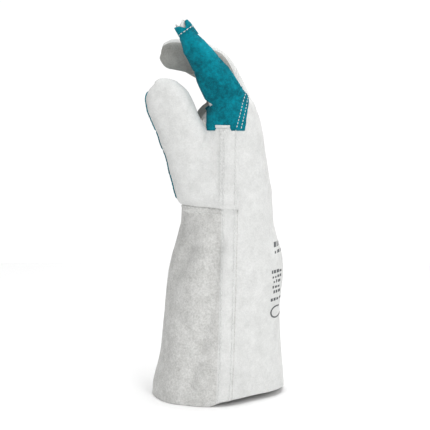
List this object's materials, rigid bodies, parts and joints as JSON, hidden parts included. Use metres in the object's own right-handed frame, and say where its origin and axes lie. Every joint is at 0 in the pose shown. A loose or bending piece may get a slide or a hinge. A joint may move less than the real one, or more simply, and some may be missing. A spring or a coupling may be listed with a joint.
{
  "type": "welding gauntlet glove",
  "caption": "Right-hand welding gauntlet of split leather with a long flared cuff, fleece lining and coloured reinforcement patches, fingers gently curled.",
  "frame": {"origin": "on the plane that the cuff's rim stands on, in the middle of the arm", "axes": "+Z from the rim to the fingertips, +X out of the back of the hand, -Y to the thumb side"},
  "size_m": [0.1395, 0.1215, 0.3797],
  "materials": {
    "grey_leather": "napped split leather, light grey",
    "pale_leather": "napped split leather, near white",
    "teal_leather": "napped split leather, dyed teal",
    "fleece": "brushed cotton fleece",
    "cotton_tape": "woven cotton tape",
    "thread": "spun aramid sewing thread"
  },
  "bodies": {
    "cuff": {"cuff_palm_panel": "grey_leather", "cuff_back_panel": "pale_leather", "cuff_side_strip": "pale_leather", "cuff_side_welt": "grey_leather", "cuff_lining": "fleece", "rim_tape": "cotton_tape", "cuff_thread": "thread"},
    "hand": {"palm_panel": "grey_leather", "back_panel": "pale_leather", "hand_side_strip": "pale_leather", "hand_side_welt": "grey_leather", "hand_lining": "fleece", "hand_thread": "thread", "palm_patch": "teal_leather", "index_root_patch": "teal_leather", "thumb_root_panel": "grey_leather", "thumb_root_lining": "fleece", "thumb_root_patch": "teal_leather"},
    "index_base": {"index_base_palm": "grey_leather", "index_base_back": "pale_leather", "index_base_fourchettes": "grey_leather", "index_lining": "fleece", "index_base_patch": "teal_leather", "index_thread": "thread"},
    "index_tip": {"index_tip_palm": "grey_leather", "index_tip_back": "pale_leather", "index_tip_fourchettes": "grey_leather", "index_tip_patch": "teal_leather", "index_hem": "teal_leather", "index_raw_edge": "pale_leather"},
    "middle_base": {"middle_base_palm": "grey_leather", "middle_base_back": "pale_leather", "middle_base_fourchettes": "grey_leather", "middle_lining": "fleece"},
    "middle_tip": {"middle_tip_palm": "grey_leather", "middle_tip_back": "pale_leather", "middle_tip_fourchettes": "grey_leather"},
    "ring_base": {"ring_base_palm": "grey_leather", "ring_base_back": "pale_leather", "ring_base_fourchettes": "grey_leather", "ring_lining": "fleece"},
    "ring_tip": {"ring_tip_palm": "grey_leather", "ring_tip_back": "pale_leather", "ring_tip_fourchettes": "grey_leather"},
    "little_base": {"little_base_palm": "grey_leather", "little_base_back": "pale_leather", "little_base_fourchettes": "grey_leather", "little_lining": "fleece"},
    "little_tip": {"little_tip_palm": "grey_leather", "little_tip_back": "pale_leather", "little_tip_fourchettes": "grey_leather"},
    "thumb_base": {"thumb_base_back": "pale_leather", "thumb_base_palm": "grey_leather", "thumb_lining": "fleece", "thumb_base_patch": "teal_leather"},
    "thumb_tip": {"thumb_tip_back": "pale_leather", "thumb_tip_palm": "grey_leather", "thumb_tip_patch": "teal_leather"}
  },
  "joints": [
    {"name": "wrist_bend", "type": "hinge", "parent": "cuff", "child": "hand", "pos_m": [0.0075, 0, 0.191], "axis": [0, -1, 0], "range_deg": [-14, 16], "deforming": ["hand_lining"]},
    {"name": "index_knuckle_bend", "type": "hinge", "parent": "hand", "child": "index_base", "pos_m": [0.005, -0.0394, 0.3], "axis": [0, -0.9986, -0.0523], "range_deg": [-20, 20], "deforming": ["index_lining"]},
    {"name": "index_middle_bend", "type": "hinge", "parent": "index_base", "child": "index_tip", "pos_m": [-0.01452, -0.0414, 0.33826], "axis": [0, -0.9986, -0.0523], "range_deg": [-8, 32], "deforming": ["index_lining"]},
    {"name": "middle_knuckle_bend", "type": "hinge", "parent": "hand", "child": "middle_base", "pos_m": [0.009, -0.0132, 0.303], "axis": [0, -0.9998, -0.0175], "range_deg": [-17, 26], "deforming": ["middle_lining"]},
    {"name": "middle_middle_bend", "type": "hinge", "parent": "middle_base", "child": "middle_tip", "pos_m": [-0.00389, -0.01373, 0.33337], "axis": [0, -0.9998, -0.0175], "range_deg": [-44, 20], "deforming": ["middle_lining"]},
    {"name": "ring_knuckle_bend", "type": "hinge", "parent": "hand", "child": "ring_base", "pos_m": [0.0085, 0.0132, 0.302], "axis": [0, -0.9997, 0.0262], "range_deg": [-17, 26], "deforming": ["ring_lining"]},
    {"name": "ring_middle_bend", "type": "hinge", "parent": "ring_base", "child": "ring_tip", "pos_m": [-0.004, 0.01397, 0.33145], "axis": [0, -0.9997, 0.0262], "range_deg": [-44, 20], "deforming": ["ring_lining"]},
    {"name": "little_knuckle_bend", "type": "hinge", "parent": "hand", "child": "little_base", "pos_m": [0.005, 0.0388, 0.298], "axis": [0, -0.9962, 0.0872], "range_deg": [-16, 26], "deforming": ["little_lining"]},
    {"name": "little_middle_bend", "type": "hinge", "parent": "little_base", "child": "little_tip", "pos_m": [-0.00511, 0.04098, 0.32294], "axis": [0, -0.9962, 0.0872], "range_deg": [-35, 27], "deforming": ["little_lining"]},
    {"name": "thumb_knuckle_bend", "type": "hinge", "parent": "hand", "child": "thumb_base", "pos_m": [-0.034, -0.043, 0.256], "axis": [0.8942, 0, 0.4478], "range_deg": [-22, 8], "deforming": ["thumb_lining"]},
    {"name": "thumb_middle_bend", "type": "hinge", "parent": "thumb_base", "child": "thumb_tip", "pos_m": [-0.04743, -0.043, 0.28282], "axis": [0.8942, 0, 0.4478], "range_deg": [-24, 4], "deforming": ["thumb_lining"]}
  ]
}
